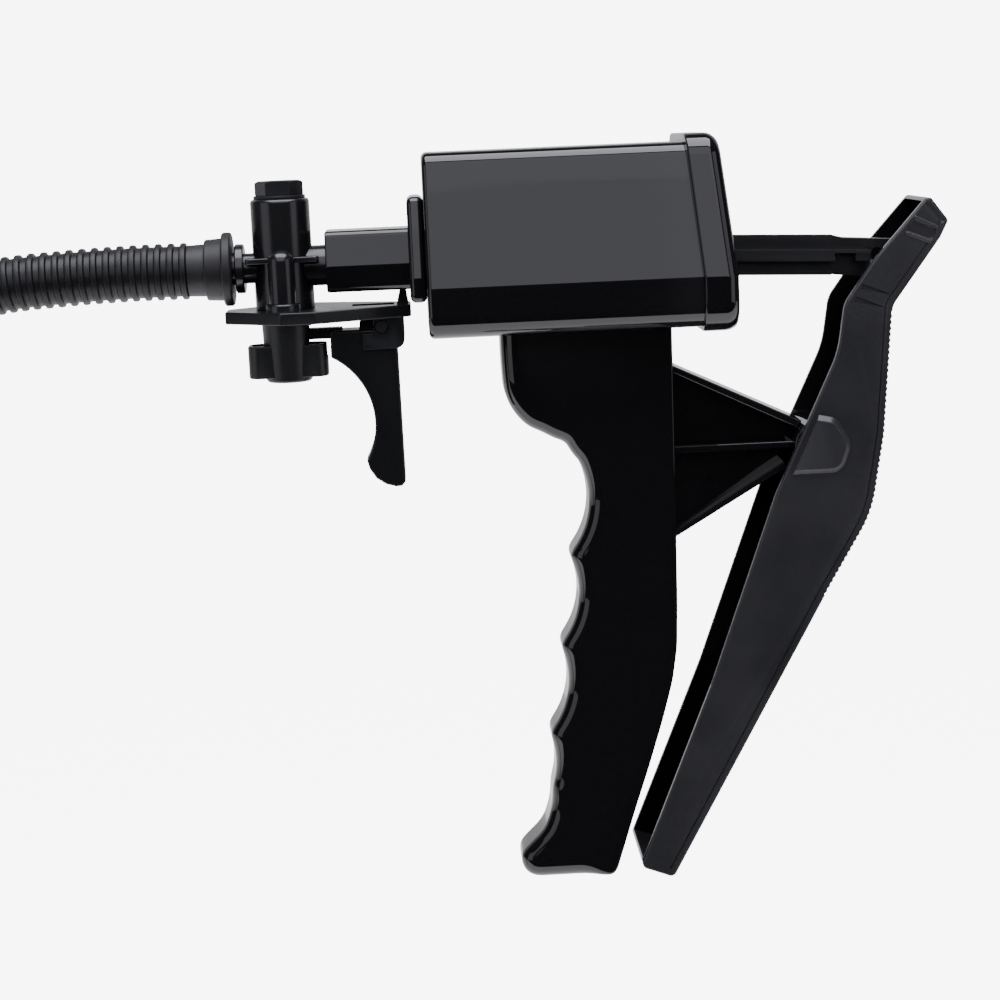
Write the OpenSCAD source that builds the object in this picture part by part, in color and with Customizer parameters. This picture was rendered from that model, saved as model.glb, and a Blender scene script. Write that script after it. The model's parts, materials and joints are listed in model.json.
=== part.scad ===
// Pistol-grip hand vacuum pump: a squeeze lever draws a piston rod out of a box-shaped housing,
// and a trigger valve on the front joins the pump to a ribbed hose.
// X runs from the hose at the front to the lever at the rear, Y across the width, Z up.
// The origin is the middle of the grip, where the hand holds it. Millimetres.

/* [Housing] */
// Width of the housing at its crease
housing_w = 43; // [40:1:46]
// Width of the housing's top
top_w = 32; // [28:1:36]
// Height of the housing
housing_h = 44.7; // [43:0.1:46]
// Wall of the housing and of the grip
wall = 2; // [1.6:0.1:2.4]
// How far the rear cap stands proud of the housing
cap_lip = 2; // [1:0.1:2.5]

/* [Pump] */
// Outside diameter of the pump barrel
barrel_d = 27; // [26.6:0.1:27]
// Bore of the pump barrel
barrel_bore = 24.2; // [23.6:0.1:24.4]
// Height and width of the cross-shaped piston rod
rod_size = 10; // [9:0.5:10]
// Thickness of the rod's webs
rod_web = 2.7; // [2.2:0.1:3]
// How many degrees the rod leans down from the piston to the lever
rod_lean = 2.4; // [2.2:0.1:2.6]

/* [Grip and lever] */
// Width of the grip
grip_w = 17; // [16.5:0.5:18]
// Radius of the grip's rounded edges
grip_r = 4.2; // [3.5:0.1:4.5]
// Width of the lever across its foot
foot_w = 27.6; // [27:0.1:28]
// Width of the lever across its tip
tip_w = 22.6; // [22.2:0.1:23]
// Thickness of the lever's side walls and back
lever_wall = 1.8; // [1.6:0.1:1.9]
// Diameter of the lever's pivot pin
pivot_d = 5; // [4:0.5:5]
// Diameter of the cross pin in the rod's slot
rod_pin_d = 3; // [2.6:0.1:3]

/* [Valve] */
// Diameter of the upright valve body
valve_d = 14.6; // [14:0.1:15]
// Thickness of the valve plate
plate_t = 3; // [2.8:0.1:3]
// Greatest width of the valve plate
plate_w = 32; // [30:1:34]
// Thickness of the trigger blade
trigger_w = 9.2; // [8:0.1:9.4]
// Diameter of the trigger pin
trigger_pin_d = 3; // [2.6:0.1:3]

/* [Hose] */
// Diameter of the ribbed hose over its ribs
hose_d = 14; // [12:0.5:15]
// Bore through the barb and the end connector
hose_bore = 5; // [4:0.5:5]

/* [Hidden] */
$fn = 64;

// Heights of the main levels
housing_z0 = 56.3;
housing_z1 = housing_z0 + housing_h;
crease_z = 68.5;
skirt_z = 62;
pump_z = 74.5;
plate_z0 = 61.2;
plate_z1 = plate_z0 + plate_t;
grip_z0 = -85.2;

// Stations along the length
housing_x0 = -46.5;
housing_x1 = 23.5;
neck_x0 = -71;
flange_x0 = -50.6;
valve_x = -81.8;
piston_x = -20.5;
guide_x = 13;
collar_x = -100.9;
cuff_x = -105.5;

// Pins, as X and Z
pivot = [49.4, 24.8];
rod_pin_arm = 46.2;
rod_pin_angle = 68.4;
rod_pin_at = pivot + rod_pin_arm * [cos(rod_pin_angle), sin(rod_pin_angle)];
rod_pin_top = pivot[1] + rod_pin_arm;
trigger_at = [-58.2, 59.1];

// Clearances: a running fit, and a loose gap round moving parts
fit = 0.05;
gap = 0.3;
far = 30;

// ---- Outlines ----

function unit(v) = v / norm(v);

// One corner b of an outline between a and c, rounded to radius r with short steps
steps = 5;
function corner(a, b, c, r) =
    let (u = unit(a - b), v = unit(c - b), half = acos(u * v) / 2, m = b + unit(u + v) * r / sin(half),
        p = b + u * r / tan(half) - m, q = b + v * r / tan(half) - m, a0 = atan2(p[1], p[0]),
        d = atan2(q[1], q[0]) - a0, turn = d > 180 ? d - 360 : d < -180 ? d + 360 : d)
    [for (i = [0:steps]) m + r * [cos(a0 + turn * i / steps), sin(a0 + turn * i / steps)]];

// A closed outline whose points are [x, y, corner radius]
function xy(p) = [p[0], p[1]];
function rounded(pts) = let (n = len(pts)) [for (i = [0:n - 1])
    each pts[i][2] > 0 ? corner(xy(pts[(i + n - 1) % n]), xy(pts[i]), xy(pts[(i + 1) % n]), pts[i][2])
        : [xy(pts[i])]];

// An open line whose points are [x, y, bulge of the arc to the next point, to its left]
function arc(a, b, h, n) = let (c = norm(b - a), t = 2 * atan(2 * h / c), r = c / 2 / sin(t),
        u = unit(b - a), w = [-u[1], u[0]])
    [for (i = [0:n - 1]) let (s = -t + 2 * t * i / n) (a + b) / 2 + r * (sin(s) * u + (cos(s) - cos(t)) * w)];
function bowed(pts, n) = [for (i = [0:len(pts) - 2])
    each pts[i][2] == 0 ? [xy(pts[i])] : arc(xy(pts[i]), xy(pts[i + 1]), pts[i][2], n),
    xy(pts[len(pts) - 1])];

// Both halves of an outline that is the same on each side of Y = 0
function mirrored(half) = concat(half, [for (i = [len(half) - 1:-1:0]) [-half[i][0], half[i][1], half[i][2]]]);

// ---- Placing ----

// A flat outline in Y and Z, drawn out along X
module along_x(x0, x1) translate([x0, 0, 0]) rotate([90, 0, 90]) linear_extrude(x1 - x0) children();

// A flat outline in X and Z, drawn out across the width
module across(w) rotate([90, 0, 0]) linear_extrude(w, center = true) children();

// A round bar along X, along Y or along Z
module bar_x(x0, x1, r, z) translate([x0, 0, z]) rotate([0, 90, 0]) cylinder(h = x1 - x0, r = r);
module bar_y(at, r, w) translate([at[0], 0, at[1]]) rotate([90, 0, 0]) cylinder(h = w, r = r, center = true);
module bar_z(x, z0, z1, r) translate([x, 0, z0]) cylinder(h = z1 - z0, r = r);

// A tube of round section swept through a list of points, closed at both ends
function along(p, i) = unit(p[min(i + 1, len(p) - 1)] - p[max(i - 1, 0)]);
module swept(p, r, sides, side_dir) {
    rings = [for (i = [0:len(p) - 1]) let (t = along(p, i), u = unit(cross(t, side_dir)), v = cross(t, u))
        for (k = [0:sides - 1]) p[i] + r * (cos(360 * k / sides) * u + sin(360 * k / sides) * v)];
    walls = [for (i = [0:len(p) - 2]) for (k = [0:sides - 1]) let (a = i * sides + k,
        b = i * sides + (k + 1) % sides) each [[a, a + sides, b], [b, a + sides, b + sides]]];
    last = (len(p) - 1) * sides;
    polyhedron(rings, concat(walls, [[for (k = [0:sides - 1]) k]],
        [[for (k = [sides - 1:-1:0]) last + k]]));
}

// ---- Housing and pump ----

// Half of the housing's outline in Y and Z, drawn in by a wall
function housing_half(in) = [[0, housing_z0 + in, 0], [housing_w / 2 - in, housing_z0 + in, 6 - in],
    [housing_w / 2 - in, skirt_z + 1, 0], [housing_w / 2 - in, crease_z, 0], [top_w / 2 - in, housing_z1 - in, 4 - in],
    [0, housing_z1 - in, 0]];
module housing_outline(in) polygon(rounded(mirrored(housing_half(in))));

spigot_r = 8;
module housing() color([0.06, 0.06, 0.07]) difference() {
    along_x(housing_x0, housing_x1) housing_outline(0);
    along_x(housing_x0 + wall, far) housing_outline(wall);
    bar_x(housing_x0 - 1, housing_x0 + far, spigot_r + fit, pump_z);
}

// The rear cap leans forward above the crease, and its rear edges are rounded
cap_side = [[16.9, housing_z1 + cap_lip, 0], [25.2, housing_z1 + cap_lip - 0.4, 3.4], [28.7, crease_z, 0],
    [28.7, housing_z0 - 1.2, 5], [20, housing_z0 - 1.2, 0], [20.1, crease_z, 0]];
rod_hole_r = 6.2;
cap_hole_z = 72.2;
module rear_cap() color([0.06, 0.06, 0.07]) difference() {
    intersection() {
        across(far * 2) polygon(rounded(cap_side));
        along_x(10, far) housing_outline(-cap_lip);
    }
    along_x(0, housing_x1) housing_outline(0);
    bar_x(10, far, rod_hole_r, cap_hole_z);
}

flange_half = [[0, 65, 0], [14.5, 65, 2], [14.5, 71, 0], [11, 90.6, 2], [0, 90.6, 0]];
neck_half = [[0, 68, 0], [8, 68, 2], [9, 74.4, 0], [7.6, 83, 1.8], [0, 83, 0]];
module front_neck() color([0.05, 0.05, 0.06]) difference() {
    union() {
        along_x(flange_x0, housing_x0) polygon(rounded(mirrored(flange_half)));
        along_x(neck_x0, flange_x0) polygon(rounded(mirrored(neck_half)));
        bar_x(housing_x0, housing_x0 + wall, spigot_r, pump_z);
    }
    bar_x(neck_x0 - 1, far, hose_bore / 2, pump_z);
}

barrel_x0 = housing_x0 + wall;
barrel_x1 = 17;
end_wall = 2.5;
module barrel() color([0.3, 0.3, 0.32]) difference() {
    union() {
        bar_x(barrel_x0, barrel_x1, barrel_d / 2, pump_z);
        along_x(barrel_x1 - 3, barrel_x1) housing_outline(wall + gap);
    }
    bar_x(barrel_x0 + end_wall, far, barrel_bore / 2, pump_z);
    bar_x(barrel_x0 - 1, barrel_x0 + far / 2, hose_bore / 2, pump_z);
}

guide_hole_r = 6.4;
guide_hole_z = 72.7;
module rod_guide() color([0.85, 0.85, 0.82]) difference() {
    bar_x(guide_x, guide_x + 3, barrel_bore / 2, pump_z);
    bar_x(guide_x - 1, guide_x + 4, guide_hole_r, guide_hole_z);
}

module inlet_valve() color([0.15, 0.15, 0.15])
    bar_x(barrel_x0 + end_wall, barrel_x0 + end_wall + 0.8, 6, pump_z);

// A coil wound about the X axis from the origin
function coil(length, r, turns, n) = [for (i = [0:turns * n]) let (a = 360 * i / n)
    [length * i / turns / n, r * cos(a), r * sin(a)]];
spring_wire_r = 0.7;
spring_r = 9;
module return_spring() color([0.7, 0.7, 0.72])
    translate([hub_x1 + spring_wire_r, 0, pump_z])
        swept(coil(guide_x - hub_x1 - 2 * spring_wire_r, spring_r, 7, 12), spring_wire_r, 6, [1, 0, 0]);

// ---- Piston and rod ----

piston_l = 5.5;
piston_r = barrel_bore / 2 - 0.4;
hub_x1 = piston_x + piston_l + 3;
screw_head_r = 3.2;
screw_r = 1.5;
head_l = 2;
module piston() color([0.8, 0.8, 0.78]) difference() {
    bar_x(piston_x, piston_x + piston_l, piston_r, pump_z);
    difference() {
        bar_x(piston_x + 1.5, piston_x + 4, far, pump_z);
        bar_x(piston_x + 1, piston_x + 5, 10, pump_z);
    }
    bar_x(piston_x - 1, piston_x + head_l, screw_head_r, pump_z);
    bar_x(piston_x - 1, piston_x + far, screw_r, pump_z);
}

module piston_cup() color([0.12, 0.12, 0.12]) difference() {
    bar_x(piston_x + 1.5, piston_x + 4, barrel_bore / 2 - fit, pump_z);
    bar_x(piston_x, piston_x + 5, 10, pump_z);
}

screw_l = 14;
module piston_screw() color([0.7, 0.7, 0.72]) union() {
    bar_x(piston_x, piston_x + head_l, screw_head_r, pump_z);
    bar_x(piston_x + head_l - 0.5, piston_x + screw_l, screw_r, pump_z);
}

// The rod leans down from the piston's middle. Its end is a flat eye with an upright slot, in which the
// lever's cross pin rises as it swings.
slot_r = rod_pin_d / 2 + gap;
eye_w = 1;
eye_r = slot_r + eye_w;
eye_x = rod_pin_at[0];
cross_x1 = 55.2;
rib_gap_x1 = 60.2;
rib_x1 = 64.2;
rib_skin = 0.7;
eye_side = [[cross_x1 - 4, 76.4, 0], [cross_x1 - 4, 67, 0], [57, 66.2, 0], [eye_x - 4.5, 65.6, 2],
    [eye_x - eye_r, rod_pin_at[1] - eye_r, 1], [67.7, rod_pin_at[1] - eye_r, 2.2], [69.4, 67.8, 2], [71.4, 74.7, 0.5],
    [cross_x1 + 2.5, 75.6, 0.5], [cross_x1, 76.3, 0]];
slot_box = [[eye_x - slot_r, rod_pin_at[1] - slot_r, slot_r - 0.1], [eye_x + slot_r, rod_pin_at[1] - slot_r,
    slot_r - 0.1], [eye_x + slot_r, rod_pin_top + slot_r, slot_r - 0.1],
    [eye_x - slot_r, rod_pin_top + slot_r, slot_r - 0.1]];
module rod_bar(x1, w, z0, z1) translate([piston_x, 0, pump_z]) rotate([0, rod_lean, 0])
    translate([hub_x1 - 1 - piston_x, -w / 2, z0]) cube([x1 - hub_x1 + 1, w, z1 - z0]);
module piston_rod() color([0.09, 0.09, 0.1]) difference() {
    union() {
        bar_x(piston_x + piston_l, hub_x1, 8, pump_z);
        rod_bar(cross_x1, rod_web, -rod_size / 2, rod_size / 2);
        rod_bar(cross_x1, rod_size, -rod_web / 2, rod_web / 2);
        rod_bar(rib_x1, rod_size, rod_web / 2 - rib_skin, rod_web / 2);
        difference() {
            rod_bar(rib_x1, rod_size, -rod_web / 2, rod_web / 2);
            translate([0, -far, 0]) cube([rib_gap_x1, 2 * far, far * 4]);
        }
        across(rod_web) polygon(rounded(eye_side));
    }
    across(far) polygon(rounded(slot_box));
    bar_x(piston_x, piston_x + screw_l, screw_r, pump_z);
}

// ---- Grip ----

// Front of the grip from its foot up, with three finger hollows, as [x, z, bulge to the next point]
grip_front = [[-25.4, grip_z0, 1.2], [-29.2, -80.6, 0.5], [-28.3, -77.8, 0], [-24.6, -74.3, -0.5],
    [-21.6, -69, -0.4], [-20.6, -62, -1.4], [-20.6, -47, -3.4], [-17, -24, -3.6], [-13.9, -0.8, -3.9],
    [-10.8, 23.6, 0.6], [-13.4, 28, 0.4], [-19.5, 30.8, 0], [-22.5, 32, 1], [-28.5, 41.4, 0.2],
    [-28.9, housing_z0, 0]];
// Rear edge of the grip, as [z, x]
grip_rear = [[grip_z0, -5.2], [-78.5, -3], [-68.9, 0.1], [-56.1, 4.5], [-44.2, 8.3], [-34.2, 11.1], [-25.3, 12.5],
    [-13.2, 12.9], [12.5, 13.2], [housing_z0, 13.5]];
function in_order(p) = [for (i = [0:len(p) - 1]) if (i == 0 || p[i][1] > p[i - 1][1] + 0.05) p[i]];
grip_levels = in_order(bowed(grip_front, 5));

// One level of the grip: a flat back and a front whose two edges are rounded
function grip_ring(xf, xr, w, r, z) = concat([[xr, -w, z]],
    [for (i = [0:4]) let (a = 270 - 22.5 * i) [xf + r + r * cos(a), -w + r + r * sin(a), z]],
    [for (i = [0:4]) let (a = 180 - 22.5 * i) [xf + r + r * cos(a), w - r + r * sin(a), z]],
    [[xr, w, z]]);
module grip_loft(in, back, z0, z1) {
    levels = [for (p = grip_levels) if (p[1] > z0 && p[1] < z1) p];
    at = concat([[lookup_front(z0), z0]], levels, [[lookup_front(z1), z1]]);
    ring = [for (p = at) each grip_ring(p[0] + in, lookup(p[1], grip_rear) + back, grip_w / 2 - in, grip_r - in, p[1])];
    n = 12;
    walls = [for (i = [0:len(at) - 2]) for (k = [0:n - 1]) let (a = i * n + k, b = i * n + (k + 1) % n)
        each [[a, b, a + n], [b, b + n, a + n]]];
    last = (len(at) - 1) * n;
    polyhedron(ring, concat(walls, [[for (k = [n - 1:-1:0]) k]], [[for (k = [0:n - 1]) last + k]]));
}
function lookup_front(z) = lookup(z, [for (p = grip_levels) [p[1], p[0]]]);
module grip() color([0.05, 0.05, 0.06]) difference() {
    grip_loft(0, 0, grip_z0, housing_z0);
    grip_loft(wall, 5, grip_z0 + wall, housing_z0 - wall);
}

// ---- Bracket and lever ----

// The lever is widest at its foot and narrows evenly to its tip
foot_z = -85;
tip_z = 86;
function lever_w_at(z) = foot_w + (tip_w - foot_w) * (z - foot_z) / (tip_z - foot_z);
function lever_taper(in) = [[foot_w / 2 - in, foot_z], [tip_w / 2 - in, tip_z], [-tip_w / 2 + in, tip_z],
    [-foot_w / 2 + in, foot_z]];

bracket_boss_w = lever_w_at(pivot[1]) - 2 * lever_wall - 2 * gap;
bracket_top = [[12.5, 46.6], [45.6, 30.6]];
bracket_low = [[12.5, 2.2], [41.5, 18.9]];
rib_t = 1.8;
rib_w = 13;
web_t = 3;
web = [[-4, 44], [9, 47.5], bracket_top[0], bracket_top[1], pivot, bracket_low[1], bracket_low[0], [9, 1], [-4, 4]];
module pivot_bracket() color([0.07, 0.07, 0.08]) difference() {
    union() {
        across(web_t) polygon(web);
        across(rib_w) polygon([bracket_top[0], bracket_top[1], bracket_top[1] - [0.8, rib_t], bracket_top[0] - [0, rib_t]]);
        across(rib_w) polygon([bracket_low[0], bracket_low[1], bracket_low[1] + [-0.8, rib_t], bracket_low[0] + [0, rib_t]]);
        across(rib_w) polygon([[12, pivot[1] - rib_t / 2], [46, pivot[1] - rib_t / 2], [46, pivot[1] + rib_t / 2],
            [12, pivot[1] + rib_t / 2]]);
        across(grip_w - 2 * wall) polygon([[9, 1], [11.5, 1], [12.2, 47.5], [9, 47.5]]);
        bar_y(pivot, 6.2, bracket_boss_w);
    }
    bar_y(pivot, pivot_d / 2, far * 2);
}

module pivot_pin() color([0.7, 0.7, 0.72]) bar_y(pivot, pivot_d / 2, lever_w_at(pivot[1]) - 0.6);

// Side view of the lever: down its back, round its foot, up its front edge and round its tip
lever_side = [[82, 79.2, 1.2], [79.9, 75, 2], [68, 58.9, 4], [65.4, 27, 50], [62, 7.5, 30], [50, -12.5, 50],
    [9.3, -84.6, 1.5], [0.9, -81.4, 1.5], [20.7, -33.8, 50], [38, 13.5, 50], [54.2, 48, 25], [56, 60, 8],
    [64, 71, 12], [77.2, 85.6, 1.2]];
// The same corner points drawn in by a wall
function drawn_in(p, i, t) = let (n = len(p), a = xy(p[(i + n - 1) % n]), b = xy(p[i]), c = xy(p[(i + 1) % n]),
        u = unit(b - a), v = unit(c - b), m = unit([-u[1], u[0]] + [-v[1], v[0]]))
    b - m * t / (m * [-u[1], u[0]]);
foot = 7;
tip = len(lever_side) - 1;
tip_dir = unit(xy(lever_side[tip]) - xy(lever_side[0]));
foot_dir = unit(xy(lever_side[foot]) - xy(lever_side[foot - 1]));
lever_hollow = [for (i = [0:tip]) let (p = drawn_in(lever_side, i, lever_wall + 0.2))
    i < foot ? [p[0], p[1], max(0, lever_side[i][2] - 2)] : i == foot ? concat(p + 12 * foot_dir, [0])
        : i == tip ? concat(p + 12 * tip_dir, [0]) : [p[0] - far, p[1], 0]];
pad_t = 1.4;
pad = [[45.2, 33.4, 1], [53.4, 31.6, 4], [57.2, 25.4, 5], [54.5, 18, 4], [42.6, 18, 1]];
pocket = [[71.5, 77, 0.5], [77.8, 74.4, 0.5], [78.9, 77.1, 0.5], [73.2, 80, 0.5]];
pocket_t = 0.6;
pin_cover = 0.6;
module tapered(in) intersection() {
    across(far * 2) children();
    along_x(-far, far * 4) polygon(lever_taper(in));
}
module lever() color([0.12, 0.12, 0.13]) difference() {
    union() {
        difference() {
            tapered(0) polygon(rounded(lever_side));
            tapered(lever_wall) polygon(rounded(lever_hollow));
        }
        for (side = [-1, 1]) translate([0, side * (lever_w_at(pivot[1]) + pad_t - 0.4) / 2, 0])
            across(pad_t + 0.4) polygon(rounded(pad));
    }
    bar_y(pivot, pivot_d / 2 + fit, lever_w_at(pivot[1]));
    bar_y(rod_pin_at, rod_pin_d / 2, lever_w_at(rod_pin_at[1]) - 2 * pin_cover);
    for (side = [-1, 1]) translate([0, side * lever_w_at(pocket[0][1]) / 2, 0])
        across(2 * pocket_t) polygon(rounded(pocket));
}

module rod_pin() color([0.7, 0.7, 0.72])
    bar_y(rod_pin_at, rod_pin_d / 2, lever_w_at(rod_pin_at[1]) - 2 * pin_cover);

// ---- Valve ----

post_y = 9.2;
post_r = 3.3;
post_top = 78.8;
chamber_r = 4.4;
seat_z = 70.5;
body_top = 91.3;
port_r = 5;
left_port_r = 3.75;
left_port_x = -91.3;
module post(side) translate([valve_x, side * post_y, plate_z1]) rotate_extrude()
    polygon(rounded([[0, 0, 0], [post_r + 0.9, 0, 0], [post_r + 0.9, 1.8, 0.4], [post_r, 2, 0],
        [post_r, post_top - plate_z1, 2.4], [0, post_top - plate_z1, 0]]));
module valve_body() color([0.05, 0.05, 0.06]) difference() {
    union() {
        bar_z(valve_x, plate_z1, body_top, valve_d / 2);
        bar_x(valve_x, neck_x0, port_r, pump_z);
        bar_x(left_port_x, valve_x, left_port_r, pump_z);
        translate([left_port_x + 0.6, -post_y + 1, 75.8]) cube([18, 2 * post_y - 2, 1.4]);
        for (side = [-1, 1]) post(side);
    }
    bar_z(valve_x, plate_z1 - 1, seat_z, chamber_r);
    bar_z(valve_x, plate_z1 - 1, body_top - 6, hose_bore / 2);
    bar_z(valve_x, body_top - 8, body_top + 1, 4.6);
    bar_x(-far * 4, neck_x0 + 1, hose_bore / 2 - 0.4, pump_z);
    for (side = [-1, 1]) translate([valve_x, side * post_y, plate_z1 - 1]) cylinder(h = 9, r = 1.2);
}

washer_t = 0.8;
plug_r = 6;
module hex_plug() color([0.05, 0.05, 0.06]) union() {
    translate([valve_x, 0, body_top + washer_t]) cylinder(h = 3.6, r = plug_r, $fn = 6);
    bar_z(valve_x, body_top - 6, body_top + washer_t + 1, 4.6);
}

module plug_washer() color([0.1, 0.1, 0.1]) difference() {
    bar_z(valve_x, body_top, body_top + washer_t, plug_r + 0.4);
    bar_z(valve_x, body_top - 1, body_top + 2, 4.6);
}

// The plate's plan, its slot over the trigger, its upright tab and the two ears of its clevis
plate_plan = [[-50.7, 5.5, 0.8], [-73.9, plate_w / 2, 1], [-82.3, plate_w / 2, 1], [-96.6, 4.5, 0.8],
    [-96.6, -4.5, 0.8], [-82.3, -plate_w / 2, 1], [-73.9, -plate_w / 2, 1], [-50.7, -5.5, 0.8]];
ear = [[-62.9, 53.6, 0], [-52.6, 53.6, 2.2], [-52.6, plate_z0, 0], [-60.2, plate_z0, 0], [-60.2, 57.6, 0],
    [-62.9, 57.6, 0]];
ear_t = 2;
ear_y = trigger_w / 2 + gap + ear_t / 2;
tab = [[-54.2, plate_z1, 0], [-51.2, plate_z1, 0], [-51.8, 68, 0], [-53.2, 68, 0]];
slot = [-65.3, -54.8];
tongue_w = 5.4;
module valve_plate() color([0.08, 0.08, 0.09]) difference() {
    union() {
        translate([0, 0, plate_z0]) linear_extrude(plate_t) polygon(rounded(plate_plan));
        across(6) polygon(rounded(tab));
        for (side = [-1, 1]) translate([0, side * ear_y, 0]) across(ear_t) polygon(rounded(ear));
    }
    bar_z(valve_x, plate_z0 - 1, plate_z1 + 1, 2);
    for (side = [-1, 1]) translate([valve_x, side * post_y, plate_z0 - 1]) cylinder(h = far, r = 1.7);
    translate([slot[0], -tongue_w / 2 - gap, plate_z0 - 1]) cube([slot[1] - slot[0], tongue_w + 2 * gap, far]);
    bar_y(trigger_at, trigger_pin_d / 2, far);
}

module post_screws() color([0.7, 0.7, 0.72]) for (side = [-1, 1]) translate([valve_x, side * post_y, plate_z0]) {
    cylinder(h = plate_t + 7, r = 1.2);
    translate([0, 0, -1.6]) cylinder(h = 1.6, r = 2.6);
}

module trigger_pin() color([0.3, 0.3, 0.32]) bar_y(trigger_at, trigger_pin_d / 2, 2 * ear_y + ear_t);

// The cage hangs under the plate, with a hollow wing on each side and a window for the trigger's arm
cage_z0 = 46;
cage_r = 6;
cage_in = 4.5;
wing_x = 9.9;
wing = [[wing_x, -6, 3], [wing_x, 6, 3], [-wing_x, 6, 3], [-wing_x, -6, 3]];
wing_in = [[wing_x - 1, -5, 2], [wing_x - 1, 5, 2], [-wing_x + 1, 5, 2], [-wing_x + 1, -5, 2]];
module valve_cage() color([0.1, 0.1, 0.11]) difference() {
    union() {
        translate([valve_x, 0, 0]) rotate_extrude() polygon(rounded([[0, cage_z0, 0], [cage_r - 0.3, cage_z0, 1],
            [cage_r + 0.2, plate_z0, 0], [0, plate_z0, 0]]));
        translate([valve_x, 0, 47.2]) linear_extrude(8.1) difference() {
            polygon(rounded(wing));
            polygon(rounded(wing_in));
        }
    }
    bar_z(valve_x, cage_z0 + 1.6, far * 4, cage_in);
    bar_z(valve_x, cage_z0 - 1, far * 4, 1);
    translate([valve_x, -2.8, 52]) cube([far / 2, 5.6, 7.8]);
}

stem_r = 1.5;
stem_collar_z = 54.3;
module valve_stem() color([0.75, 0.75, 0.72]) union() {
    bar_z(valve_x, 51.2, 69, stem_r);
    bar_z(valve_x, stem_collar_z, stem_collar_z + 1.2, 3.4);
}

module stem_seal() color([0.12, 0.12, 0.12]) bar_z(valve_x, 69, 70.2, 3.4);

valve_wire_r = 0.3;
module valve_spring() color([0.7, 0.7, 0.72])
    translate([valve_x, 0, cage_z0 + 1.6 + valve_wire_r]) rotate([0, -90, 0])
        swept(coil(stem_collar_z - cage_z0 - 1.6 - 2 * valve_wire_r, 2.8, 5, 12), valve_wire_r, 6, [1, 0, 0]);

// The trigger: a finger-curved blade, a tongue on the pin and an arm that presses the stem's collar down
finger = [-80, 35];
finger_r = 19;
blade_top = 58.4;
blade = concat([[-54.5, blade_top], [-71, blade_top]],
    [for (i = [0:9]) let (a = 62 - 92 * i / 9) finger + finger_r * [cos(a), sin(a)]],
    [[-63, 23.4], [-61.4, 20.9], [-59, 19.3], [-56.6, 18.6], [-55, 18.7], [-54.1, 19.8]]);
arm_t = 2.7;
arm_w = 4;
module trigger() color([0.05, 0.05, 0.06]) difference() {
    union() {
        across(trigger_w) polygon(blade);
        across(tongue_w) polygon([[-64, 57], [-55.6, 57], [-55.4, 59.4], [-56, 60.6], [-57.4, 61.6], [-59, 61.6],
            [-63.6, 60.4]]);
        across(arm_w) polygon([[-83.2, 56.3], [-68, 56.3], [-68, 56.3 + arm_t], [-83.2, 56.3 + arm_t]]);
    }
    bar_y(trigger_at, trigger_pin_d / 2 + fit, far);
    bar_z(valve_x, 50, 60, stem_r + 0.7);
    translate([valve_x - 5, -stem_r - 0.7, 50]) cube([5, 2 * stem_r + 1.4, 10]);
}

// ---- Hose ----

barb_x = -93.5;
module hose_barb() color([0.06, 0.06, 0.07]) difference() {
    union() {
        bar_x(barb_x, left_port_x, 6.1, pump_z);
        bar_x(cuff_x, barb_x, 4, pump_z);
    }
    bar_x(-far * 4, 0, hose_bore / 2, pump_z);
}

module hose_collar() color([0.1, 0.1, 0.11]) difference() {
    union() {
        bar_x(collar_x + 4.3, -94.2, 9.1, pump_z);
        bar_x(collar_x, collar_x + 4.3, 7.75, pump_z);
    }
    bar_x(-far * 4, 0, 4, pump_z);
}

module hose_cuff() color([0.1, 0.1, 0.11]) difference() {
    bar_x(cuff_x, collar_x, 6.5, pump_z);
    bar_x(-far * 4, 0, 4, pump_z);
}

// The hose runs straight out of its cuff, sags a little, and hangs down in one wide bend
hose_route = [[-105.5, 0, 74.5], [-120, 0, 74.5], [-136, 0, 74], [-152, 0, 72.8], [-170, 0, 69.2], [-187, 0, 62.4],
    [-201, 0, 52.4], [-212, 0, 39.6], [-220, 0, 24.4], [-225, 0, 7.6], [-227, 0, -10], [-228, 0, -30],
    [-228, 0, -60], [-228, 0, -90], [-228, 0, -120], [-228, 0, -150], [-228, 0, -180], [-228, 0, -204]];
hose_end_at = hose_route[len(hose_route) - 1];
module hose() color([0.13, 0.13, 0.14]) swept(hose_route, hose_d / 2, 12, [0, 1, 0]);

module hose_end() color([0.06, 0.06, 0.07]) translate(hose_end_at) rotate([180, 0, 0]) difference() {
    union() {
        cylinder(h = 12, r = 8.5);
        translate([0, 0, 12]) cylinder(h = 3, r = 6);
        translate([0, 0, 15]) cylinder(h = 14, r1 = 5.4, r2 = 4.4);
    }
    translate([0, 0, -1]) cylinder(h = far * 2, r = hose_bore / 2);
}

housing();
rear_cap();
front_neck();
barrel();
rod_guide();
inlet_valve();
return_spring();
grip();
pivot_bracket();
pivot_pin();
valve_body();
hex_plug();
plug_washer();
valve_plate();
post_screws();
trigger_pin();
valve_cage();
valve_spring();
hose_barb();
hose_collar();
hose_cuff();
hose();
hose_end();
piston();
piston_cup();
piston_screw();
piston_rod();
lever();
rod_pin();
trigger();
valve_stem();
stem_seal();
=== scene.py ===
import json
import math
import bmesh
import bpy
from mathutils import Matrix, Vector


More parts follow.
